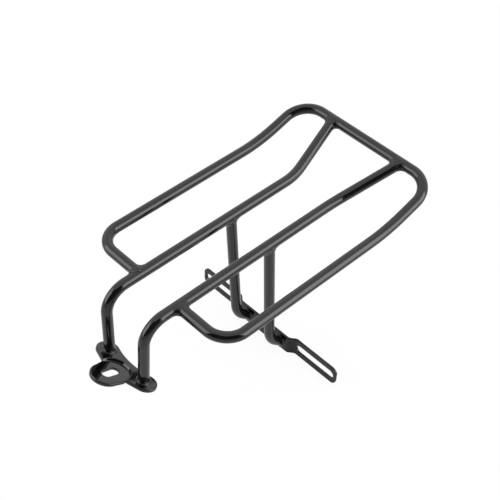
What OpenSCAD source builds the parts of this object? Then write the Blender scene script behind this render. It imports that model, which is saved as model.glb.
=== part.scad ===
// Luggage rack for a motorcycle: bent steel tube, a formed front plate and a slotted rear strap.
// X is across the rack, +Y points to its rear and +Z is up.
// The finished rack has its origin midway between the two slots of the rear strap.
// While it is laid out, the origin is midway between the rails, above the front legs' feet.

/* [Tube] */
// Outside diameter of every tube
tube_d = 12.7; // [10:0.1:15]
// Wall thickness of every tube
tube_wall = 1.6; // [1:0.1:2.5]

/* [Deck] */
// Width of the outer hoop, between the centre lines of its long sides
hoop_w = 205; // [180:1:250]
// Distance from the front legs back to the hoop's front bar
front_bar_y = 46; // [42:1:70]
// Distance from the front legs back to the rear bar
rear_bar_y = 369; // [350:1:420]
// Distance from the front legs back to where the hoop's sides turn up
hoop_kink_y = 292; // [250:1:300]
// Distance from the front legs back to where the rails turn up and outward
rail_kink_y = 281; // [240:1:300]
// Height of the rear bar above the flat part of the deck
rear_rise = 23.5; // [10:0.5:30]
// Spacing of the two rails, between centre lines
rail_gap = 61.5; // [50:0.5:80]
// Spacing of the rails where they meet the rear bar, between centre lines
rail_rear_gap = 106.5; // [85:0.5:112]
// Centre-line bend radius of the hoop's front corners
front_corner_r = 27.5; // [20:0.5:35]
// Centre-line bend radius of the hoop's rear corners
rear_corner_r = 31.5; // [20:0.5:35]
// Centre-line bend radius where the hoop's sides turn up
hoop_kink_r = 190; // [60:5:200]
// Centre-line bend radius where the rails turn up and outward
rail_kink_r = 84; // [40:1:120]

/* [Front legs] */
// Height of the deck's centre line above the front plate, at the feet
foot_h = 84.1; // [70:1:110]
// Distance that each foot leans in toward the middle
foot_lean = 2; // [0:0.5:4]
// Distance that each foot leans forward
foot_rake = 2; // [0:0.1:4]
// Centre-line bend radius between a rail and its front leg
rail_front_r = 26.5; // [20:0.5:32]

/* [Rear legs] */
// Distance from the front legs back to the top of the rear legs
leg_y = 179; // [150:1:200]
// Distance from the rear legs' top back to the rear strap
leg_back = 32.5; // [28:0.5:45]
// Distance that each rear leg leans back before its bend
leg_rake = 12.8; // [8:0.2:16]
// Distance that each rear leg leans in toward the middle
leg_lean = 2; // [0:0.5:6]
// Distance below the middle of the strap at which a rear leg meets it
leg_low = 1.3; // [0:0.1:1.6]
// Angle below the horizontal at which a rear leg meets the strap
leg_end_angle = 44; // [35:1:50]
// Centre-line bend radius at the foot of a rear leg
leg_r = 40; // [25:1:45]

/* [Rear strap] */
// Height of the deck's centre line above the middle of the strap
strap_drop = 188.7; // [170:1:230]
// Width of the strap bar
strap_w = 26; // [25:0.5:32]
// Thickness of the strap bar
strap_t = 3; // [3:0.5:6]
// Overall length of the strap
strap_len = 232; // [215:1:270]
// Radius of the corners at the strap's ends
strap_corner_r = 7.8; // [3:0.2:11]
// Distance that the strap's ends are set back from its middle
strap_offset = 6.2; // [3:0.2:9]
// Distance from the middle of the strap out to where each set-back starts
strap_bend_x = 39.5; // [38:0.5:44]
// Length of each set-back along the strap
strap_bend_len = 11; // [9:1:16]
// Length of each slot, end to end
slot_len = 61; // [20:1:64]
// Width of each slot
slot_w = 12.4; // [6:0.2:14]
// Land between a slot and the end of the strap
slot_land = 4; // [3:0.5:12]

/* [Front plate] */
// Thickness of the plate
plate_t = 4; // [3:0.5:6]
// Angle at which the plate falls toward the rear
plate_tilt = 21; // [0:1:25]
// Distance that the middle of each ear stands out from its foot
ear_shift = 2.6; // [0:0.2:3]
// Radius of each rounded ear
ear_r = 13.4; // [12:0.2:15]
// Depth of the plate's waist, behind the line of the feet
waist_y = 7.7; // [6:0.2:9]
// Angle by which the ears' front edges run forward toward the tongue
ear_sweep = 18.4; // [14:0.2:26]
// Radius of the tongue's round end
tongue_r = 17.7; // [16:0.1:20]
// Distance that each side of the tongue spreads out toward the ears
tongue_flare = 2; // [0:0.5:3]
// Distance from the feet forward to the middle of the tongue's round end
tongue_y = 28.9; // [24:0.1:34]
// Depth of the seat pressed into the tongue
seat_depth = 1.5; // [1:0.1:3]
// Width of the slope between the seat and the rest of the plate
seat_run = 3; // [2:0.5:5]
// Radius of the seat's back edge
seat_r = 19.5; // [17:0.5:20]
// Distance from the feet forward to the centre of the seat's back edge
seat_y = 18.5; // [18:0.5:22]
// Length of the plate's slot, end to end
plate_slot_len = 21; // [12:0.5:24]
// Width of the plate's slot
plate_slot_w = 10.8; // [6:0.2:12]
// Distance from the feet forward to the middle of the slot
plate_slot_y = 22.5; // [18:0.5:28]

/* [Welds] */
// Radius of the blended fillet in each corner between two tubes
weld_r = 5.5; // [3:0.5:6.5]
// Leg length of the fillets around the feet and the strap ends
weld_leg = 2.5; // [2:0.1:2.8]
// Fit-up gap between a coped tube end and what it meets
weld_gap = 0.05; // [0.02:0.01:0.2]

/* [Hidden] */

$fn = 48;
finish = "#26282a";
tube_r = tube_d / 2;
side_x = hoop_w / 2;
rail_x = rail_gap / 2;
rail_rear_x = rail_rear_gap / 2;
strap_y = leg_y + leg_back;
slots_y = strap_y + strap_offset + strap_t / 2;
// How deep a weld's hidden faces reach into the metal before they are trimmed to it
weld_bite = 0.2;
// How deep a weld's root lies before it is trimmed
weld_root = 2;
// Rise of a weld's middle above the corner it fills
weld_crown = 0.8;
// Share by which a weld between tubes narrows at its sides
weld_thin = 0.4;
// Rounding of the weld's path where a joint's two saddles cross
weld_round = 0.35;
// Lap of each straight length over the bends beside it, whose wall is thinner by this much on each face
bend_lap = 0.4;
bend_thinner = 0.01;
// How far a cutting shape stands proud of the face it cuts
proud = 1;
arc_steps = 5;
ring_steps = 36;
seat_facets = 96;
tongue_steps = 12;
ear_steps = 24;
waist_steps = 8;
cutter = 60;

// Corner points of the right-hand tubes' centre lines
rail_points = [
    [rail_rear_x, rear_bar_y, rear_rise],
    [rail_x, rail_kink_y, 0],
    [rail_x, 0, 0],
    [rail_x - foot_lean, -foot_rake, -foot_h]
];
leg_end_z = -strap_drop - leg_low;
leg_corner_z = leg_end_z + (leg_back - leg_rake) * tan(leg_end_angle);
leg_points = [
    [rail_x, leg_y, 0],
    [rail_x - leg_lean, leg_y + leg_rake, leg_corner_z],
    [rail_x - leg_lean, strap_y, leg_end_z]
];
half_hoop = [
    [rail_x, front_bar_y, 0],
    [side_x, front_bar_y, 0],
    [side_x, hoop_kink_y, 0],
    [side_x, rear_bar_y, rear_rise]
];
hoop_points = concat(half_hoop, [for (i = [3:-1:0]) [-half_hoop[i].x, half_hoop[i].y, half_hoop[i].z]]);
hoop_radii = [front_corner_r, hoop_kink_r, rear_corner_r, rear_corner_r, hoop_kink_r, front_corner_r];

// Directions used by the joints
hoop_axis = [1, 0, 0];
rail_axis = [0, 1, 0];
rail_rear_axis = unit(rail_points[1] - rail_points[0]);
leg_axis = unit(leg_points[1] - leg_points[0]);
leg_end_axis = unit(leg_points[1] - leg_points[2]);
foot_axis = unit(rail_points[2] - rail_points[3]);
plate_normal = [0, sin(plate_tilt), cos(plate_tilt)];
strap_normal = [0, -1, 0];

function unit(v) = v / norm(v);
function reversed(v) = [for (i = [len(v) - 1:-1:0]) v[i]];
function heading(p, i) = unit(p[i + 1] - p[i]);
function turn(p, i) = acos(heading(p, i - 1) * heading(p, i));
function set_back(p, r, i) = i < 1 || i > len(p) - 2 ? 0 : r[i - 1] * tan(turn(p, i) / 2);
function straight(p, r, i) = norm(p[i + 1] - p[i]) - set_back(p, r, i) - set_back(p, r, i + 1);
function bend_normal(p, i) = unit(cross(heading(p, i - 1), heading(p, i)));
// Twist about the tube's own axis between two following bends
function twist(p, i) = i < 2 ? 0 :
    let (before = bend_normal(p, i - 1), after = bend_normal(p, i))
    atan2(cross(before, after) * heading(p, i - 1), before * after);

// Places a shape that is built up along +Z with its side toward +X, at a point and along two directions
module along(point, axis, side) {
    across = unit(side - (side * axis) * axis);
    third = cross(axis, across);
    multmatrix([
        [across.x, third.x, axis.x, point.x],
        [across.y, third.y, axis.y, point.y],
        [across.z, third.z, axis.z, point.z],
        [0, 0, 0, 1]
    ]) children();
}

module tube_section(thinner = 0) {
    difference() {
        circle(r = tube_r - thinner);
        circle(r = tube_r - tube_wall + thinner);
    }
}

module tube_bend(radius, angle) {
    translate([radius, 0, 0])
        rotate([90, 0, 180])
            rotate_extrude(angle = angle)
                translate([radius, 0])
                    tube_section(bend_thinner);
}

// One tube bent at each inner corner point, drawn from its first end on
module tube_run(p, r, i = 0) {
    length = straight(p, r, i);
    first = i == 0 ? 0 : bend_lap;
    last = i == len(p) - 2 ? 0 : bend_lap;
    translate([0, 0, -first]) linear_extrude(height = first + length + last) tube_section();
    if (i < len(p) - 2)
        translate([0, 0, length])
            rotate([0, 0, twist(p, i + 1)]) {
                tube_bend(r[i], turn(p, i + 1));
                translate([r[i], 0, 0])
                    rotate([0, turn(p, i + 1), 0])
                        translate([-r[i], 0, 0])
                            tube_run(p, r, i + 1);
            }
}

module bent_tube(p, r) {
    along(p[0], heading(p, 0), heading(p, 1)) tube_run(p, r);
}

// A round bar centred on a point, used to cope a tube end or trim a weld
module round_cutter(point, axis, radius, length) {
    side = abs(axis.z) < 0.9 ? [0, 0, 1] : [0, 1, 0];
    along(point - axis * length / 2, axis, side) cylinder(r = radius, h = length);
}

module mirrored() {
    mirror([1, 0, 0]) children();
}

module hoop() {
    difference() {
        bent_tube(hoop_points, hoop_radii);
        for (side = [-1, 1])
            round_cutter([side * rail_x, front_bar_y, 0], rail_axis, tube_r + weld_gap, cutter);
    }
}

module rail() {
    difference() {
        bent_tube(
            [rail_points[0], rail_points[1], rail_points[2], rail_points[3] - foot_axis * tube_d],
            [rail_kink_r, rail_front_r]
        );
        round_cutter(rail_points[0], hoop_axis, tube_r + weld_gap, cutter);
        on_plate() translate([0, 0, -cutter]) cube([2 * cutter, 2 * cutter, 2 * cutter], center = true);
    }
}

module leg() {
    difference() {
        bent_tube([leg_points[0], leg_points[1], leg_points[2] - leg_end_axis * tube_d], [leg_r]);
        round_cutter(leg_points[0], rail_axis, tube_r + weld_gap, cutter);
        translate([0, strap_y + cutter, leg_end_z])
            cube([2 * cutter, 2 * cutter, 2 * cutter], center = true);
    }
}

// Puts a shape on the front plate: X across, +Y back along the plate and its top face at Z = 0
module on_plate() {
    translate([0, -foot_rake, -foot_h]) rotate([-plate_tilt, 0, 0]) children();
}

function arc_points(centre, radius, from, to, steps) =
    [for (i = [0:steps]) centre + radius * [cos(from + (to - from) * i / steps), sin(from + (to - from) * i / steps)]];

// Outline of the plate: ears round the feet, a waist behind them and a tongue in front
ear_x = rail_x - foot_lean + ear_shift;
waist_centre_y = (pow(waist_y - ear_r, 2) - pow(ear_x, 2)) / (2 * (waist_y - ear_r));
waist_r = waist_centre_y - waist_y;
ear_back_angle = atan2(waist_centre_y, -ear_x);
waist_angle = atan2(-waist_centre_y, -ear_x);
ear_front_angle = -90 + ear_sweep;
ear_front = [ear_x + ear_r * cos(ear_front_angle), ear_r * sin(ear_front_angle)];
// Where an ear's straight front edge reaches the tongue
corner_x = tongue_r + tongue_flare;
corner_y = ear_front.y - (ear_front.x - corner_x) * tan(ear_sweep);
half_outline = concat(
    arc_points([0, -tongue_y], tongue_r, -90, 0, tongue_steps),
    [[corner_x, corner_y]],
    arc_points([ear_x, 0], ear_r, ear_front_angle, ear_back_angle, ear_steps),
    arc_points([0, waist_centre_y], waist_r, 180 - waist_angle - 360, -90, waist_steps)
);

module plate_outline() {
    count = len(half_outline);
    polygon(concat(half_outline, [for (i = [count - 2:-1:1]) [-half_outline[i].x, half_outline[i].y]]));
}

// The tongue's pressed seat as a cone that runs out to the front
module seat_form(top_r, bottom_r, top_z, bottom_z) {
    translate([0, -seat_y, bottom_z]) cylinder(r1 = bottom_r, r2 = top_r, h = top_z - bottom_z, $fn = seat_facets);
    translate([-cutter / 2, -seat_y - cutter, bottom_z]) cube([cutter, cutter, top_z - bottom_z]);
}

module long_hole(length, width, depth) {
    for (end = [-1, 1])
        translate([end * (length - width) / 2, 0, 0]) cylinder(d = width, h = depth, center = true);
    cube([length - width, width, depth], center = true);
}

// A flat bar with rounded corners
module rounded_bar(length, width, radius, depth) {
    for (end = [-1, 1], side = [-1, 1])
        translate([end * (length / 2 - radius), side * (width / 2 - radius), 0])
            cylinder(r = radius, h = depth, center = true);
    cube([length - 2 * radius, width, depth], center = true);
    cube([length, width - 2 * radius, depth], center = true);
}

module plate() {
    // The slope round the seat keeps the plate's thickness
    low_r = seat_r + plate_t * tan(atan2(seat_depth, seat_run) / 2);
    low_z = -plate_t - 2 * seat_depth;
    high_r = seat_r + proud * seat_run / seat_depth;
    on_plate() difference() {
        translate([0, 0, -plate_t - seat_depth]) linear_extrude(height = plate_t + seat_depth) plate_outline();
        seat_form(high_r, seat_r - seat_run, proud, -seat_depth);
        difference() {
            translate([-cutter, -cutter, -cutter - plate_t]) cube([2 * cutter, 2 * cutter, cutter]);
            seat_form(low_r, low_r - 2 * seat_run, -plate_t, low_z);
        }
        translate([0, -plate_slot_y, -seat_depth - plate_t / 2])
            rotate([0, 0, 90])
                long_hole(plate_slot_len, plate_slot_w, 2 * plate_t);
    }
}

// Front face of the strap, seen from above, from its middle out to one end
function set_back_at(x) = x < strap_bend_x ? 0 :
    x > strap_bend_x + strap_bend_len ? strap_offset :
    strap_offset * (1 - cos(180 * (x - strap_bend_x) / strap_bend_len)) / 2;
strap_steps = 8;
strap_end = strap_len / 2;
strap_x = concat([0], [for (i = [0:strap_steps]) strap_bend_x + strap_bend_len * i / strap_steps], [strap_end]);
strap_front = concat(
    [for (i = [len(strap_x) - 1:-1:1]) [-strap_x[i], set_back_at(strap_x[i])]],
    [for (i = [1:len(strap_x) - 1]) [strap_x[i], set_back_at(strap_x[i])]]
);

module strap() {
    slot_x = strap_end - slot_land - slot_len / 2;
    translate([0, strap_y, -strap_drop]) difference() {
        intersection() {
            translate([0, 0, -strap_w / 2])
                linear_extrude(height = strap_w)
                    polygon(concat(strap_front, [for (p = reversed(strap_front)) p + [0, strap_t]]));
            rotate([90, 0, 0]) rounded_bar(strap_len, strap_w, strap_corner_r, cutter);
        }
        for (side = [-1, 1])
            translate([side * slot_x, 0, 0])
                rotate([90, 0, 0])
                    long_hole(slot_len, slot_w, cutter);
    }
}

// A closed band through a ring of sections
module band(sections) {
    count = len(sections);
    size = len(sections[0]);
    faces = [for (i = [0:count - 1]) for (j = [0:size - 1])
        let (a = i * size + j, b = i * size + (j + 1) % size,
            c = ((i + 1) % count) * size + (j + 1) % size, d = ((i + 1) % count) * size + j)
        each [[a, b, c], [a, c, d]]];
    polyhedron(points = [for (section = sections) each section], faces = faces);
}

// Section of the fillet round a branch tube that ends on an equal through tube, at one angle round the branch
function saddle_section(branch, through, angle) =
    let (
        c = branch * through,
        u = unit(through - c * branch),
        v = cross(branch, u),
        up = unit(branch - c * through),
        out = cos(angle) * u + sin(angle) * v,
        lean = sqrt(pow(cos(angle), 2) + pow(weld_round, 2)) * tube_r * sqrt(1 - c * c),
        root = tube_r * out + lean / (1 - sign(cos(angle)) * c) * branch,
        leg = weld_r * (1 - weld_thin * pow(sin(angle), 2)),
        round_to = atan2(root * v, root * up) + leg / tube_r * sin(angle) * 180 / PI,
        side = cos(round_to) * up + sin(round_to) * v,
        toe = (root * through + leg * cos(angle)) * through + tube_r * side,
        top = root + leg * branch,
        outward = unit(out + unit(root - (root * through) * through)),
        bulge = root + weld_crown * outward
    )
    concat(
        [top - weld_bite * out],
        [for (i = [1:arc_steps - 1]) let (t = i / arc_steps)
            (1 - t) * (1 - t) * top + 2 * t * (1 - t) * bulge + t * t * toe],
        [toe - weld_bite * side],
        [root - weld_root * outward]
    );

// One fillet all the way round the joint where a branch tube ends on a through tube
module tube_weld(point, branch, through) {
    difference() {
        translate(point)
            band([for (i = [0:ring_steps - 1]) saddle_section(branch, through, -360 * i / ring_steps)]);
        round_cutter(point, through, tube_r, cutter);
        round_cutter(point + branch * cutter / 2, branch, tube_r + weld_gap, cutter);
    }
}

// Section of the fillet round a tube that ends on a flat face, at one angle round the tube
function ring_section(axis, normal, across, angle) =
    let (
        out = cos(angle) * across + sin(angle) * cross(axis, across),
        root = tube_r * (out - axis * (out * normal) / (axis * normal)),
        flat = unit(out - (out * normal) * normal),
        top = root + weld_leg * axis,
        toe = root + weld_leg * flat,
        bulge = root + weld_crown * unit(out + normal)
    )
    concat(
        [top - weld_bite * out],
        [for (i = [1:arc_steps - 1]) let (t = i / arc_steps)
            (1 - t) * (1 - t) * top + 2 * t * (1 - t) * bulge + t * t * toe],
        [toe - weld_bite * normal],
        [root - weld_root * unit(out + normal)]
    );

module face_weld(point, axis, normal) {
    across = unit([1, 0, 0] - axis.x * axis);
    difference() {
        translate(point)
            band([for (i = [0:ring_steps - 1]) ring_section(axis, normal, across, -360 * i / ring_steps)]);
        round_cutter(point, axis, tube_r, cutter);
        along(point - normal * cutter / 2, normal, [1, 0, 0])
            cube([cutter, cutter, cutter], center = true);
    }
}

module hoop_weld() {
    tube_weld([rail_x, front_bar_y, 0], hoop_axis, rail_axis);
}

module rail_weld() {
    tube_weld(rail_points[0], rail_rear_axis, hoop_axis);
}

module leg_weld() {
    tube_weld(leg_points[0], leg_axis, rail_axis);
}

module foot_weld() {
    face_weld(rail_points[3], foot_axis, plate_normal);
}

module strap_weld() {
    face_weld(leg_points[2], leg_end_axis, strap_normal);
}

// Coats a piece and puts the rack's origin between the strap's slots
module finished() {
    color(finish) translate([0, -slots_y, strap_drop]) children();
}

module outer_hoop() {
    finished() hoop();
}

module left_rail() {
    finished() mirrored() rail();
}

module right_rail() {
    finished() rail();
}

module left_leg() {
    finished() mirrored() leg();
}

module right_leg() {
    finished() leg();
}

module rear_strap() {
    finished() strap();
}

module front_plate() {
    finished() plate();
}

module left_hoop_weld() {
    finished() mirrored() hoop_weld();
}

module right_hoop_weld() {
    finished() hoop_weld();
}

module left_rail_weld() {
    finished() mirrored() rail_weld();
}

module right_rail_weld() {
    finished() rail_weld();
}

module left_leg_weld() {
    finished() mirrored() leg_weld();
}

module right_leg_weld() {
    finished() leg_weld();
}

module left_foot_weld() {
    finished() mirrored() foot_weld();
}

module right_foot_weld() {
    finished() foot_weld();
}

module left_strap_weld() {
    finished() mirrored() strap_weld();
}

module right_strap_weld() {
    finished() strap_weld();
}

outer_hoop();
left_rail();
right_rail();
left_leg();
right_leg();
rear_strap();
front_plate();
left_hoop_weld();
right_hoop_weld();
left_rail_weld();
right_rail_weld();
left_leg_weld();
right_leg_weld();
left_foot_weld();
right_foot_weld();
left_strap_weld();
right_strap_weld();
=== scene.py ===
import math
import bmesh
import bpy
from mathutils import Matrix, Vector


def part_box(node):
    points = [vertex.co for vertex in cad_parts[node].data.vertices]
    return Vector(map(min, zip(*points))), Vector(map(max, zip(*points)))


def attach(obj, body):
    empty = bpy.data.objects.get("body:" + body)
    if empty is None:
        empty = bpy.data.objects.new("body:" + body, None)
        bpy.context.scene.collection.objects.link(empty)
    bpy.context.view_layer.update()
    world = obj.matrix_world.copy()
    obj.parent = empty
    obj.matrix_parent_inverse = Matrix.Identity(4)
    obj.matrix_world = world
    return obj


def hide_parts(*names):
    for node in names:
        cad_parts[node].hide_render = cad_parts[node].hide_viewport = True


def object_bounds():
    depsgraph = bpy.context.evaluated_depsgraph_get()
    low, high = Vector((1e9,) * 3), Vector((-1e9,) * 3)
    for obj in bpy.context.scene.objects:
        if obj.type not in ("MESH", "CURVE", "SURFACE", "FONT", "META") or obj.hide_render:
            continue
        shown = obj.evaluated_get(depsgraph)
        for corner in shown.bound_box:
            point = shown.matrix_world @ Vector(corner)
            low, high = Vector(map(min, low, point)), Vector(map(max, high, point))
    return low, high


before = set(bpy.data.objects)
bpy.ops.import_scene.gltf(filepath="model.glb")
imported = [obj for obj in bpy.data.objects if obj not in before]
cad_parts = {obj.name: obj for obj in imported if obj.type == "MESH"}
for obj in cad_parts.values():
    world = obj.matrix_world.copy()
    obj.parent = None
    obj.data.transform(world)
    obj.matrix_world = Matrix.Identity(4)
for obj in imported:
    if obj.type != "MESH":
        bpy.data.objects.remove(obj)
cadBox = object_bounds()
print("frame loaded:", len(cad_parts), "nodes")

# Lengths of the rack are in millimetres, measured as it is laid out: from the point midway
# between the rails, above the feet of the front legs. place() brings them to the model's own origin.
rack = {
    "originY": 219.2,
    "originZ": -188.7,
    "plateTilt": 21.0,  # degrees by which the front plate rises toward its tongue
    "tubeRadius": 6.35,
    "tubeSides": 56,
    "bendStep": 3.0,  # degrees of bend for each step of the spin
    "fewestSteps": 3,
    "guard": 0.8,  # a loop this far from each end keeps the shading of a straight even
    "onPlane": 0.0001,  # what lies this near a cutting plane is on it
    "sharpTurn": 1.0,  # an edge that turns by more radians than this is rolled over
}


def place(x, y, z):
    return Vector((x, y - rack["originY"], z - rack["originZ"])) / 1000


def flipped(point):
    return Vector((-point.x, point.y, point.z))


class Wire:
    # One socket of a shader, so that its maths can be written as Python

    def __init__(self, paint, socket):
        self.paint = paint
        self.socket = socket

    def maths(self, operation, first, second=0.0):
        return self.paint.node("ShaderNodeMath", {"operation": operation}, {0: first, 1: second})

    def __add__(self, other):
        return self.maths("ADD", self, other)

    def __radd__(self, other):
        return self.maths("ADD", other, self)

    def __sub__(self, other):
        return self.maths("SUBTRACT", self, other)

    def __rsub__(self, other):
        return self.maths("SUBTRACT", other, self)

    def __mul__(self, other):
        return self.maths("MULTIPLY", self, other)

    def __rmul__(self, other):
        return self.maths("MULTIPLY", other, self)

    def __neg__(self):
        return self.maths("MULTIPLY", self, -1.0)


class Paint:
    # Builds the nodes of one material or of the world

    def __init__(self, tree):
        self.tree = tree
        tree.nodes.clear()

    def node(self, kind, settings=None, values=None, output=0):
        made = self.tree.nodes.new(kind)
        for name, value in (settings or {}).items():
            setattr(made, name, value)
        for name, value in (values or {}).items():
            if isinstance(value, Wire):
                self.tree.links.new(value.socket, made.inputs[name])
            else:
                made.inputs[name].default_value = value
        return Wire(self, made.outputs[output]) if made.outputs else made

    def rise(self, value, low, high):
        # 0 below low, 1 above high, with a soft turn between
        limits = {0: value, "From Min": low, "From Max": high}
        return self.node("ShaderNodeMapRange", {"interpolation_type": "SMOOTHSTEP"}, limits)

    def blend(self, share, first, second):
        return self.node("ShaderNodeMix", {"data_type": "RGBA"}, {0: share, 6: first, 7: second}, 2)

    def noise(self, spot, scale, detail=2.0, roughness=0.5):
        values = {"Vector": spot, "Scale": scale, "Detail": detail, "Roughness": roughness}
        return self.node("ShaderNodeTexNoise", {}, values)


def glossCoat(name, look):
    # Deep black gloss over steel: a faint orange peel, a light haze in patches and a little dust
    material = bpy.data.materials.new(name)
    material.use_nodes = True
    paint = Paint(material.node_tree)
    spot = paint.node("ShaderNodeTexCoord", output="Object")
    haze = paint.rise(paint.noise(spot, *look["hazeNoise"]), *look["hazeSpan"])
    dust = paint.rise(paint.noise(spot, *look["dustNoise"]), *look["dustSpan"])
    dulled = haze * look["hazeShare"] + dust * look["dustShare"]
    colour = paint.blend(dulled, look["deep"] + (1,), look["hazed"] + (1,))
    roughness = look["roughness"] + haze * look["hazeRoughness"] + dust * look["dustRoughness"]
    peel = paint.noise(spot, *look["peelNoise"])
    wave = paint.noise(spot, *look["waveNoise"])
    height = peel * look["peelHeight"] + wave * look["waveHeight"]
    bump = paint.node("ShaderNodeBump", {}, {"Height": height, "Distance": look["relief"], "Strength": 1.0})
    shader = paint.node("ShaderNodeBsdfPrincipled", {}, {
        "Base Color": colour,
        "Roughness": roughness,
        "IOR": look["ior"],
        "Normal": bump,
    })
    paint.node("ShaderNodeOutputMaterial", {}, {"Surface": shader})
    return material


# Each noise has its scale, its detail and its roughness, and a span is where it starts and ends to show
coatLook = {
    "deep": (0.0028, 0.0029, 0.0032),
    "hazed": (0.0052, 0.0053, 0.0058),
    "roughness": 0.05,
    "ior": 1.5,
    "hazeNoise": (22.0, 3.0, 0.5),
    "hazeSpan": (0.42, 0.68),
    "hazeShare": 0.6,
    "hazeRoughness": 0.018,
    "dustNoise": (900.0, 2.0, 0.6),
    "dustSpan": (0.66, 0.78),
    "dustShare": 0.4,
    "dustRoughness": 0.03,
    "relief": 0.001,  # metres for a height of 1
    "peelNoise": (420.0, 2.0, 0.45),
    "peelHeight": 0.003,
    "waveNoise": (60.0, 1.0, 0.4),
    "waveHeight": 0.012,
}
tubeCoat = glossCoat("tubeCoat", coatLook)
barCoat = glossCoat("barCoat", {**coatLook, "roughness": 0.055, "peelHeight": 0.004})
# Painted shade: the strap's copy of the coat is rougher and reflects less than the tubes' coat, darkening
# the strap as the shaded floor in front of it would
strapShadedCoat = glossCoat("strapShadedCoat", {**coatLook, "roughness": 0.07, "ior": 1.4})
weldLook = {"roughness": 0.06, "peelHeight": 0.015, "waveNoise": (210.0, 1.0, 0.4)}
weldCoat = glossCoat("weldCoat", {**coatLook, **weldLook})
# A node that no finer piece stands for would wear the tubes' coat
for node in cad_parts.values():
    for held in node.material_slots:
        held.material = tubeCoat
print("coats made")


def finishPiece(mesh, name, node, material):
    bmesh.ops.recalc_face_normals(mesh, faces=mesh.faces)
    for face in mesh.faces:
        face.smooth = True
    data = bpy.data.meshes.new(name)
    mesh.to_mesh(data)
    mesh.free()
    data.materials.append(material)
    piece = bpy.data.objects.new(name, data)
    bpy.context.collection.objects.link(piece)
    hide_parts(node)
    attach(piece, "root")


def ringOf(verts):
    # The edges between these points. A dictionary keeps their order, which a set would change each run.
    kept = set(verts)
    edges = dict.fromkeys(edge for vert in verts for edge in vert.link_edges)
    return [edge for edge in edges if kept.issuperset(edge.verts)]


# Corner points of the right-hand tubes and the bend radius at each inner corner
tubes = {
    "hoopHalf": [(30.75, 46, 0), (102.5, 46, 0), (102.5, 292, 0), (102.5, 369, 23.5)],
    "hoopBends": [27.5, 190, 31.5, 31.5, 190, 27.5],
    "rail": [(53.25, 369, 23.5), (30.75, 281, 0), (30.75, 0, 0), (28.75, -2, -84.1)],
    "railBends": [84, 26.5],
    "leg": [(30.75, 179, 0), (28.75, 191.8, -170.976), (28.75, 211.5, -190)],
    "legBends": [40],
    "sunk": 1.0,  # how deep a tube's flat end goes into the plate or the strap
    "spare": 12.0,  # length drawn past a flat end before it is cut
}


def drawOut(mesh, ring, shift):
    made = bmesh.ops.extrude_edge_only(mesh, edges=ring)["geom"]
    verts = [part for part in made if isinstance(part, bmesh.types.BMVert)]
    bmesh.ops.translate(mesh, vec=shift, verts=verts)
    return ringOf(verts)


def drawStraight(mesh, ring, shift):
    guard = shift.normalized() * rack["guard"] / 1000
    for part in (guard, shift - guard * 2, guard):
        ring = drawOut(mesh, ring, part)
    return ring


def capEnd(mesh, ring):
    # A sharp rim keeps the flat end out of the shading of the tube's side
    bmesh.ops.edgeloop_fill(mesh, edges=ring)
    for edge in ring:
        edge.smooth = False


def cutFlat(mesh, point, outward):
    parts = mesh.verts[:] + mesh.edges[:] + mesh.faces[:]
    made = bmesh.ops.bisect_plane(
        mesh,
        geom=parts,
        dist=rack["onPlane"] / 1000,
        plane_co=point,
        plane_no=outward,
        clear_outer=True,
    )
    ring = [part for part in made["geom_cut"] if isinstance(part, bmesh.types.BMEdge)]
    capEnd(mesh, ring)


def bentTube(name, node, corners, bends, cut=None):
    # A ring is drawn out along each straight and spun round each bend
    mesh = bmesh.new()
    start = corners[0]
    turned = (corners[1] - start).to_track_quat("Z", "Y").to_matrix().to_4x4()
    made = bmesh.ops.create_circle(
        mesh,
        segments=rack["tubeSides"],
        radius=rack["tubeRadius"] / 1000,
        matrix=Matrix.Translation(start) @ turned,
    )
    ring = ringOf(made["verts"])
    firstRing = ring
    for last, corner, following, bend in zip(corners, corners[1:], corners[2:], bends):
        before = (corner - last).normalized()
        after = (following - corner).normalized()
        angle = before.angle(after)
        setBack = bend / 1000 * math.tan(angle / 2)
        bendStart = corner - before * setBack
        ring = drawStraight(mesh, ring, bendStart - start)
        axis = before.cross(after).normalized()
        spun = bmesh.ops.spin(
            mesh,
            geom=ring,
            cent=bendStart + axis.cross(before) * bend / 1000,
            axis=axis,
            dvec=(0, 0, 0),
            angle=angle,
            steps=max(rack["fewestSteps"], math.ceil(math.degrees(angle) / rack["bendStep"])),
            use_merge=False,
            use_duplicate=False,
        )["geom_last"]
        ring = ringOf([part for part in spun if isinstance(part, bmesh.types.BMVert)])
        start = corner + after * setBack
    ring = drawStraight(mesh, ring, corners[-1] - start)
    capEnd(mesh, firstRing)
    if cut:
        cutFlat(mesh, *cut)
    else:
        capEnd(mesh, ring)
    finishPiece(mesh, name, node, tubeCoat)


def spared(corners):
    # The last straight runs on past its flat end, which is then cut to what it stands on
    along = (corners[-1] - corners[-2]).normalized()
    return corners[:-1] + [corners[-1] + along * tubes["spare"] / 1000]


tilt = math.radians(rack["plateTilt"])
plateNormal = Vector((0, math.sin(tilt), math.cos(tilt)))
strapNormal = Vector((0, -1, 0))
railPoints = [place(*corner) for corner in tubes["rail"]]
legPoints = [place(*corner) for corner in tubes["leg"]]
hoopPoints = [place(*corner) for corner in tubes["hoopHalf"]]
footCut = railPoints[-1] - plateNormal * tubes["sunk"] / 1000
strapCut = legPoints[-1] - strapNormal * tubes["sunk"] / 1000

hoopCorners = hoopPoints + [flipped(corner) for corner in reversed(hoopPoints)]
bentTube("hoopTube", "outer_hoop", hoopCorners, tubes["hoopBends"])
for side, turnOver in (("right", Vector), ("left", flipped)):
    railCorners = [turnOver(corner) for corner in spared(railPoints)]
    railCut = (turnOver(footCut), -plateNormal)
    bentTube(side + "RailTube", side + "_rail", railCorners, tubes["railBends"], railCut)
    legCorners = [turnOver(corner) for corner in spared(legPoints)]
    legCut = (turnOver(strapCut), -strapNormal)
    bentTube(side + "LegTube", side + "_leg", legCorners, tubes["legBends"], legCut)
print("tubes bent")


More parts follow.
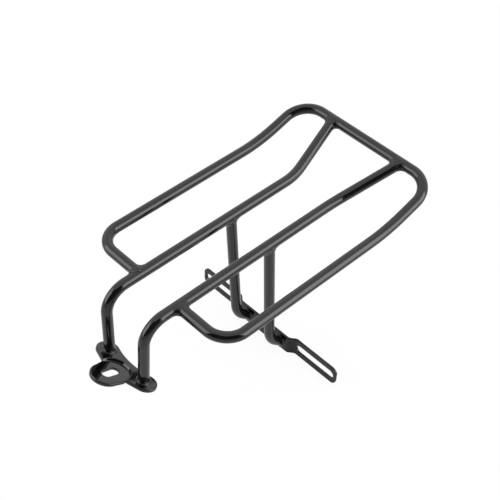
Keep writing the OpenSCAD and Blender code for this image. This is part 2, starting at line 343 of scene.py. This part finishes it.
def rollEdges(mesh, edges, radius, steps):
    bmesh.ops.bevel(
        mesh,
        geom=edges,
        offset=radius,
        offset_type="OFFSET",
        affect="EDGES",
        segments=steps,
        profile=0.5,
        material=-1,
        clamp_overlap=True,
    )


def cutGrid(mesh, way, low, high, step):
    # Small faces keep the shading of a flat face even right up to its rolled edge
    for index in range(1, math.ceil((high - low) / step)):
        parts = mesh.verts[:] + mesh.edges[:] + mesh.faces[:]
        cut = way * (low + index * step)
        bmesh.ops.bisect_plane(mesh, geom=parts, dist=step / 1000, plane_co=cut, plane_no=way)


# The plate is drawn flat, with the line of the feet along X and its tongue toward -Y
plate = {
    "foot": (0, -2, -84.1),
    "thick": 4.0,
    "earX": 31.35,
    "earRadius": 13.4,
    "earSweep": 18.4,  # degrees that an ear's front edge runs forward to the tongue
    "waist": 7.7,  # from the line of the feet back to the middle of the hollow edge
    "tongueRadius": 17.7,
    "tongueY": -28.9,
    "cornerX": 19.7,
    "slotLength": 21.0,
    "slotWidth": 10.8,
    "slotY": -22.5,
    "seatDepth": 1.5,
    "seatPitch": 2.4,  # the seat's face lies this much deeper at its back than at its front
    "seatPivot": 0.25,  # share of its length from the tip where that changes nothing
    "seatRun": 1.8,  # width of the slope that leads down to it
    "seatFine": 1.2,  # smaller faces reach this far beyond the slope
    "seatRadius": 19.6,  # of the arc round the seat's back
    "seatY": -18.5,
    "rolledEdge": 1.3,  # the pressed upper edge
    "slotEdge": 0.9,
    "underEdge": 0.5,
    "edgeSteps": 5,
    "turnStep": 5,  # degrees of a round outline for each of its points
    "fewestSteps": 4,
    "flatTurn": 0.01,  # radians
    "join": 0.001,  # points nearer than this are merged
    "levelWithin": 0.1,  # the ends of an edge to be rolled over differ by less in height
    "slotMargin": 1,  # edges no further than this past the slot's ends are its own
    "grid": 0.6,  # width of the small faces
}


def spinPoint(mesh, vert, centre, degrees):
    made = bmesh.ops.spin(
        mesh,
        geom=[vert],
        cent=centre,
        axis=(0, 0, 1),
        dvec=(0, 0, 0),
        angle=math.radians(degrees),
        steps=max(plate["fewestSteps"], math.ceil(abs(degrees) / plate["turnStep"])),
        use_merge=False,
        use_duplicate=False,
    )
    return [part for part in made["geom_last"] if isinstance(part, bmesh.types.BMVert)][0]


def drawTo(mesh, vert, x, y):
    made = bmesh.ops.extrude_vert_indiv(mesh, verts=[vert])["verts"][0]
    made.co = (x, y, 0)
    return made


def outlinePlate(mesh):
    # Half of the outline from the tongue's tip round an ear to the waist, then its mirror image
    earX, earRadius = plate["earX"], plate["earRadius"]
    inner = plate["waist"] - earRadius
    waistY = (inner ** 2 - earX ** 2) / (2 * inner)
    sweep = math.radians(plate["earSweep"])
    earFront = (earX + earRadius * math.sin(sweep), -earRadius * math.cos(sweep))
    earBack = math.degrees(math.atan2(waistY, -earX))
    cornerY = earFront[1] - (earFront[0] - plate["cornerX"]) * math.tan(sweep)
    tip = bmesh.ops.create_vert(mesh, co=(0, plate["tongueY"] - plate["tongueRadius"], 0))["vert"][0]
    point = spinPoint(mesh, tip, (0, plate["tongueY"], 0), 90)
    point = drawTo(mesh, point, plate["cornerX"], cornerY)
    point = drawTo(mesh, point, *earFront)
    point = spinPoint(mesh, point, (earX, 0, 0), earBack + 90 - plate["earSweep"])
    spinPoint(mesh, point, (0, waistY, 0), 90 - earBack)
    parts = mesh.verts[:] + mesh.edges[:]
    bmesh.ops.mirror(mesh, geom=parts, matrix=Matrix.Identity(4), merge_dist=plate["join"], axis="X")


def outlineSlot(mesh):
    halfWidth = plate["slotWidth"] / 2
    half = plate["slotLength"] / 2 - halfWidth
    back, front = plate["slotY"] + half, plate["slotY"] - half
    start = bmesh.ops.create_vert(mesh, co=(halfWidth, back, 0))["vert"][0]
    point = spinPoint(mesh, start, (0, back, 0), 180)
    point = drawTo(mesh, point, -halfWidth, front)
    point = spinPoint(mesh, point, (0, front, 0), 180)
    drawTo(mesh, point, halfWidth, back)
    bmesh.ops.remove_doubles(mesh, verts=mesh.verts, dist=plate["join"])


def refineSlope(mesh):
    # The slope round the seat's back is steep, so its faces are made smaller
    middle = plate["seatRadius"] - plate["seatRun"] / 2
    reach = plate["seatRun"] / 2 + plate["seatFine"]
    fine = set()
    for vert in mesh.verts:
        away = math.hypot(vert.co.x, max(0.0, vert.co.y - plate["seatY"]))
        if abs(away - middle) < reach and vert.co.y > plate["seatY"] - plate["grid"]:
            fine.add(vert)
    edges = [edge for edge in mesh.edges if edge.verts[0] in fine and edge.verts[1] in fine]
    bmesh.ops.subdivide_edges(mesh, edges=edges, cuts=1, use_grid_fill=True)


def pressSeat(mesh):
    # The tongue is set down behind a short slope that runs round the seat's back
    front = plate["tongueY"] - plate["tongueRadius"]
    back = plate["seatRadius"] + plate["seatY"]
    for vert in mesh.verts:
        ahead = max(0.0, vert.co.y - plate["seatY"])
        share = (plate["seatRadius"] - math.hypot(vert.co.x, ahead)) / plate["seatRun"]
        if vert.co.y < plate["seatY"]:
            share = 1.0
        share = min(1.0, max(0.0, share))
        upper = 1 + vert.co.z / plate["thick"]
        lean = (vert.co.y - front) / (back - front) - plate["seatPivot"]
        vert.co.z -= (plate["seatDepth"] + plate["seatPitch"] * upper * lean) * share


def pressPlate(name, node):
    mesh = bmesh.new()
    outlinePlate(mesh)
    outlineSlot(mesh)
    bmesh.ops.triangle_fill(mesh, edges=mesh.edges, use_beauty=True)
    bmesh.ops.dissolve_limit(mesh, angle_limit=plate["flatTurn"], verts=mesh.verts, edges=mesh.edges)
    bmesh.ops.solidify(mesh, geom=mesh.faces[:], thickness=plate["thick"])
    top = max(vert.co.z for vert in mesh.verts)
    bmesh.ops.translate(mesh, verts=mesh.verts, vec=(0, 0, -top))
    slotMiddle = Vector((0, plate["slotY"]))
    groups = {"rolledEdge": [], "slotEdge": [], "underEdge": []}
    for edge in mesh.edges:
        middle = (edge.verts[0].co + edge.verts[1].co) / 2
        climb = abs(edge.verts[0].co.z - edge.verts[1].co.z)
        if edge.calc_face_angle() < rack["sharpTurn"] or climb > plate["levelWithin"]:
            continue
        if middle.z < -plate["thick"] / 2:
            groups["underEdge"].append(edge)
        elif (middle.xy - slotMiddle).length < plate["slotLength"] / 2 + plate["slotMargin"]:
            groups["slotEdge"].append(edge)
        else:
            groups["rolledEdge"].append(edge)
    for group, edges in groups.items():
        rollEdges(mesh, edges, plate[group], plate["edgeSteps"])
    reach = plate["earX"] + plate["earRadius"]
    front = plate["tongueY"] - plate["tongueRadius"]
    cutGrid(mesh, Vector((1, 0, 0)), -reach, reach, plate["grid"])
    cutGrid(mesh, Vector((0, 1, 0)), front, plate["earRadius"], plate["grid"])
    refineSlope(mesh)
    pressSeat(mesh)
    turned = Matrix.Rotation(-tilt, 4, "X")
    seated = Matrix.Translation(place(*plate["foot"])) @ turned @ Matrix.Scale(0.001, 4)
    bmesh.ops.transform(mesh, matrix=seated, verts=mesh.verts)
    finishPiece(mesh, name, node, barCoat)


strap = {
    "edge": 0.7,
    "edgeSteps": 4,
    "join": 0.002,
    "flatTurn": 0.8,  # degrees
    "grid": 2.0,
}


def rollStrap(name, node):
    # The strap's own shape with its edges rolled over
    mesh = bmesh.new()
    mesh.from_mesh(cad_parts[node].data)
    bmesh.ops.remove_doubles(mesh, verts=mesh.verts, dist=strap["join"] / 1000)
    flatTurn = math.radians(strap["flatTurn"])
    bmesh.ops.dissolve_limit(mesh, angle_limit=flatTurn, verts=mesh.verts, edges=mesh.edges)
    sharp = [edge for edge in mesh.edges if edge.is_manifold and edge.calc_face_angle() > rack["sharpTurn"]]
    rollEdges(mesh, sharp, strap["edge"] / 1000, strap["edgeSteps"])
    low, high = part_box(node)
    cutGrid(mesh, Vector((1, 0, 0)), low[0], high[0], strap["grid"] / 1000)
    cutGrid(mesh, Vector((0, 0, 1)), low[2], high[2], strap["grid"] / 1000)
    finishPiece(mesh, name, node, strapShadedCoat)


pressPlate("frontPlatePressed", "front_plate")
rollStrap("rearStrapBar", "rear_strap")
print("plate and strap made")


welds = {
    "leg": 5.5,  # reach of a fillet between two tubes
    "narrowing": 0.4,  # share of it that is lost at the joint's two sides
    "rounding": 0.35,  # keeps the joint's line round where it would come to a point
    "faceLeg": 2.5,  # reach of a fillet round a tube on a flat face
    "sweep": 0.5,  # how far the curve leans into the corner
    "rim": 0.3,  # a bead stands this proud where it ends
    "ripples": 26,
    "rippleHeight": 0.08,
    "rippleLean": 2,  # radians by which a ripple leans across the bead
    "root": 1.6,  # how deep a bead reaches into the metal
    "points": 96,  # round the joint
    "steps": 9,  # across the bead
    "join": 0.0001,
}


def filletLoop(corner, top, toe, topIn, toeIn, rootIn, angle):
    # A fillet's section: a curve from the branch down to what it stands on, closed inside the metal
    lean, rim, root = welds["sweep"], welds["rim"], welds["root"]
    points = []
    for step in range(welds["steps"] + 1):
        t = step / welds["steps"]
        first = top.lerp(corner, lean)
        second = toe.lerp(corner, lean)
        curve = top * (1 - t) ** 3 + first * 3 * t * (1 - t) ** 2
        curve = curve + second * 3 * t * t * (1 - t) + toe * t ** 3
        phase = angle * welds["ripples"] + welds["rippleLean"] * t
        ripple = welds["rippleHeight"] * math.sin(math.pi * t) * math.cos(phase)
        points.append(curve + topIn * (1 - t) * rim + toeIn * t * rim + rootIn * ripple)
    return points + [toe - toeIn * root, corner - rootIn * root, top - topIn * root]


def saddleLoop(branch, through, angle):
    # Round a tube that ends on the side of an equal one
    radius = rack["tubeRadius"]
    slant = branch.dot(through)
    ahead = (through - branch * slant).normalized()
    aside = branch.cross(ahead)
    up = (branch - through * slant).normalized()
    out = ahead * math.cos(angle) + aside * math.sin(angle)
    lean = math.sqrt(math.cos(angle) ** 2 + welds["rounding"] ** 2) * radius * math.sqrt(1 - slant * slant)
    corner = out * radius + branch * lean / (1 - math.copysign(1, math.cos(angle)) * slant)
    leg = welds["leg"] * (1 - welds["narrowing"] * math.sin(angle) ** 2)
    around = math.atan2(corner.dot(aside), corner.dot(up)) + leg / radius * math.sin(angle)
    level = up * math.cos(around) + aside * math.sin(around)
    toe = through * (corner.dot(through) + leg * math.cos(angle)) + level * radius
    inward = (out + (corner - through * corner.dot(through)).normalized()).normalized()
    return filletLoop(corner, corner + branch * leg, toe, out, level, inward, angle)


def flatLoop(axis, normal, angle):
    # Round a tube that ends on a flat face
    ahead = (Vector((1, 0, 0)) - axis * axis.x).normalized()
    out = ahead * math.cos(angle) + axis.cross(ahead) * math.sin(angle)
    corner = (out - axis * out.dot(normal) / axis.dot(normal)) * rack["tubeRadius"]
    away = (out - normal * out.dot(normal)).normalized()
    toe = corner + away * welds["faceLeg"]
    inward = (out + normal).normalized()
    return filletLoop(corner, corner + axis * welds["faceLeg"], toe, out, normal, inward, angle)


def nextLoop(mesh, verts):
    # The loop drawn out of this one, in the same order
    made = bmesh.ops.extrude_edge_only(mesh, edges=ringOf(verts))["geom"]
    drawn = {part for part in made if isinstance(part, bmesh.types.BMVert)}
    following = []
    for vert in verts:
        neighbours = {edge.other_vert(vert) for edge in vert.link_edges}
        following.append((neighbours & drawn).pop())
    return following


def weldBead(name, node, point, turnOver, sectionAt):
    # Each loop runs right round the joint, the last one back onto the first.
    # No bead stands above the rack's top.
    sections = [sectionAt(math.tau * index / welds["points"]) for index in range(welds["points"])]
    radius = rack["tubeRadius"] / 1000
    mesh = bmesh.new()
    verts = bmesh.ops.create_circle(mesh, segments=welds["points"], radius=radius)["verts"]
    count = len(sections[0])
    for step in range(count + 1):
        if step:
            verts = nextLoop(mesh, verts)
        for vert, section in zip(verts, sections):
            vert.co = turnOver(point + section[step % count] / 1000)
            vert.co.z = min(vert.co.z, cadBox[1].z)
    bmesh.ops.remove_doubles(mesh, verts=mesh.verts, dist=welds["join"] / 1000)
    finishPiece(mesh, name, node, weldCoat)


def heading(start, end):
    return (end - start).normalized()


acrossRack = Vector((1, 0, 0))
alongRack = Vector((0, 1, 0))
railRearWay = heading(railPoints[0], railPoints[1])
legWay = heading(legPoints[0], legPoints[1])
footWay = heading(railPoints[3], railPoints[2])
legEndWay = heading(legPoints[2], legPoints[1])
beads = {
    "hoop": (hoopPoints[0], lambda angle: saddleLoop(acrossRack, alongRack, angle)),
    "rail": (railPoints[0], lambda angle: saddleLoop(railRearWay, acrossRack, angle)),
    "leg": (legPoints[0], lambda angle: saddleLoop(legWay, alongRack, angle)),
    "foot": (railPoints[3], lambda angle: flatLoop(footWay, plateNormal, angle)),
    "strap": (legPoints[2], lambda angle: flatLoop(legEndWay, strapNormal, angle)),
}
for joint, (point, sectionAt) in beads.items():
    for side, turnOver in (("right", Vector), ("left", flipped)):
        name = side + joint.capitalize() + "Bead"
        weldBead(name, side + "_" + joint + "_weld", point, turnOver, sectionAt)
print("welds laid")


# The camera stands where the photograph was taken from. Its eye is in metres.
shot = {
    "eye": (0.60589, -0.66540, 1.03862),
    "right": (0.69394, 0.71923, 0.03390),
    "ahead": (-0.48846, 0.50483, -0.71172),
    "sensor": 36,
    "lens": 79.12,
    "shiftX": 0.0008,
    "shiftY": 0.0019,
    "farEnd": 30,
}


def placeCamera():
    ahead = Vector(shot["ahead"]).normalized()
    right = Vector(shot["right"])
    right = (right - ahead * right.dot(ahead)).normalized()
    turned = Matrix((right, right.cross(ahead), -ahead)).transposed()
    data = bpy.data.cameras.new("camera")
    data.sensor_width = shot["sensor"]
    data.lens = shot["lens"]
    data.shift_x = shot["shiftX"]
    data.shift_y = shot["shiftY"]
    data.clip_end = shot["farEnd"]
    camera = bpy.data.objects.new("camera", data)
    camera.matrix_world = Matrix.Translation(shot["eye"]) @ turned.to_4x4()
    bpy.context.collection.objects.link(camera)
    bpy.context.scene.camera = camera


# Lengths here are in metres. Directions are degrees round the rack, from its front toward
# its right, and degrees above the floor.
studio = {
    "floorDrop": 0.0131,
    "floorReach": 1.6,
    "floorShown": 0.94,  # share of the floor's white that no shadow can take
    "floorMirrored": 0.7,  # the level of plain white that the coat sees in the floor
    "floorMirroredShare": 0.45,
    "paper": 0.8,
    "paperGrain": 30.0,
    "paperVaries": 0.02,
    "sky": 1.25,
    "skyLow": 0.6,
    "skyRise": 0.2,  # the angle in radians over which it brightens
    "flag": 0.07,  # the dark cloth on the camera's side
    "flagAcross": (-15, 97),
    "flagUp": (6, 68),
    "flagSoft": 4,  # its edges fade over this much either way
    "lampAway": 2.2,
    "lamps": {
        "rearLamp": {"across": (100, 142), "up": (-5, 47), "level": 3.25},
        "frontLamp": {"across": (-60, -15), "up": (3, 47), "level": 2.3},
    },
}


def towards(across, up):
    flat = math.cos(up)
    return Vector((math.sin(across) * flat, -math.cos(across) * flat, math.sin(up)))


def placeLamp(name, lamp, middle):
    across = [math.radians(angle) for angle in lamp["across"]]
    up = [math.radians(angle) for angle in lamp["up"]]
    data = bpy.data.lights.new(name, "AREA")
    data.shape = "RECTANGLE"
    data.size = 2 * studio["lampAway"] * math.tan((across[1] - across[0]) / 2)
    data.size_y = 2 * studio["lampAway"] * math.tan((up[1] - up[0]) / 2)
    data.energy = lamp["level"] * math.pi * data.size * data.size_y
    away = towards(sum(across) / 2, sum(up) / 2)
    held = bpy.data.objects.new(name, data)
    turned = away.to_track_quat("Z", "Y").to_matrix().to_4x4()
    held.matrix_world = Matrix.Translation(middle + away * studio["lampAway"]) @ turned
    held.visible_camera = False
    bpy.context.collection.objects.link(held)


def paintSky():
    # White to the camera, and a pale tent with a dark cloth on the camera's side to everything else
    world = bpy.data.worlds.new("studio")
    bpy.context.scene.world = world
    world.use_nodes = True
    paint = Paint(world.node_tree)
    way = paint.node("ShaderNodeTexCoord", output="Generated")
    parts = paint.node("ShaderNodeSeparateXYZ", {}, {0: way})
    x, y, z = [Wire(paint, socket) for socket in parts.socket.node.outputs]
    across = x.maths("ARCTAN2", x, -y)
    up = z.maths("ARCSINE", z)
    soft = math.radians(studio["flagSoft"])
    flag = 1.0
    for angle, (low, high) in ((across, studio["flagAcross"]), (up, studio["flagUp"])):
        low, high = math.radians(low), math.radians(high)
        flag = flag * paint.rise(angle, low - soft, low + soft)
        flag = flag * (1 - paint.rise(angle, high - soft, high + soft))
    pale = studio["skyLow"] + (studio["sky"] - studio["skyLow"]) * paint.rise(up, 0.0, studio["skyRise"])
    mirrored = pale * (1 - flag) + studio["flag"] * flag
    seen = paint.node("ShaderNodeLightPath", output="Is Camera Ray")
    strength = seen + (1 - seen) * mirrored
    sky = paint.node("ShaderNodeBackground", {}, {"Color": (1, 1, 1, 1), "Strength": strength})
    paint.node("ShaderNodeOutputWorld", {}, {"Surface": sky})


def layFloor():
    mesh = bmesh.new()
    bmesh.ops.create_grid(mesh, x_segments=2, y_segments=2, size=studio["floorReach"])
    bmesh.ops.translate(mesh, verts=mesh.verts, vec=(0, 0, -studio["floorDrop"]))
    data = bpy.data.meshes.new("floor")
    mesh.to_mesh(data)
    mesh.free()
    material = bpy.data.materials.new("paleFloor")
    material.use_nodes = True
    paint = Paint(material.node_tree)
    spot = paint.node("ShaderNodeTexCoord", output="Object")
    paper = studio["paper"] + paint.noise(spot, studio["paperGrain"]) * studio["paperVaries"]
    colour = paint.node("ShaderNodeCombineColor", {}, {0: paper, 1: paper, 2: paper})
    lit = paint.node("ShaderNodeBsdfDiffuse", {}, {"Color": colour})
    rays = paint.node("ShaderNodeLightPath").socket.node.outputs
    seen = Wire(paint, rays["Is Camera Ray"])
    mirrored = Wire(paint, rays["Is Glossy Ray"])
    plain = paint.node("ShaderNodeEmission", {}, {"Strength": seen + mirrored * studio["floorMirrored"]})
    share = seen * studio["floorShown"] + mirrored * studio["floorMirroredShare"]
    mixed = paint.node("ShaderNodeMixShader", {}, {0: share, 1: lit, 2: plain})
    paint.node("ShaderNodeOutputMaterial", {}, {"Surface": mixed})
    data.materials.append(material)
    floor = bpy.data.objects.new("floor", data)
    bpy.context.collection.objects.link(floor)


placeCamera()
layFloor()
paintSky()
rackMiddle = (cadBox[0] + cadBox[1]) / 2
for name, lamp in studio["lamps"].items():
    placeLamp(name, lamp, rackMiddle)
bpy.context.scene.view_settings.view_transform = "Standard"
print("studio set")
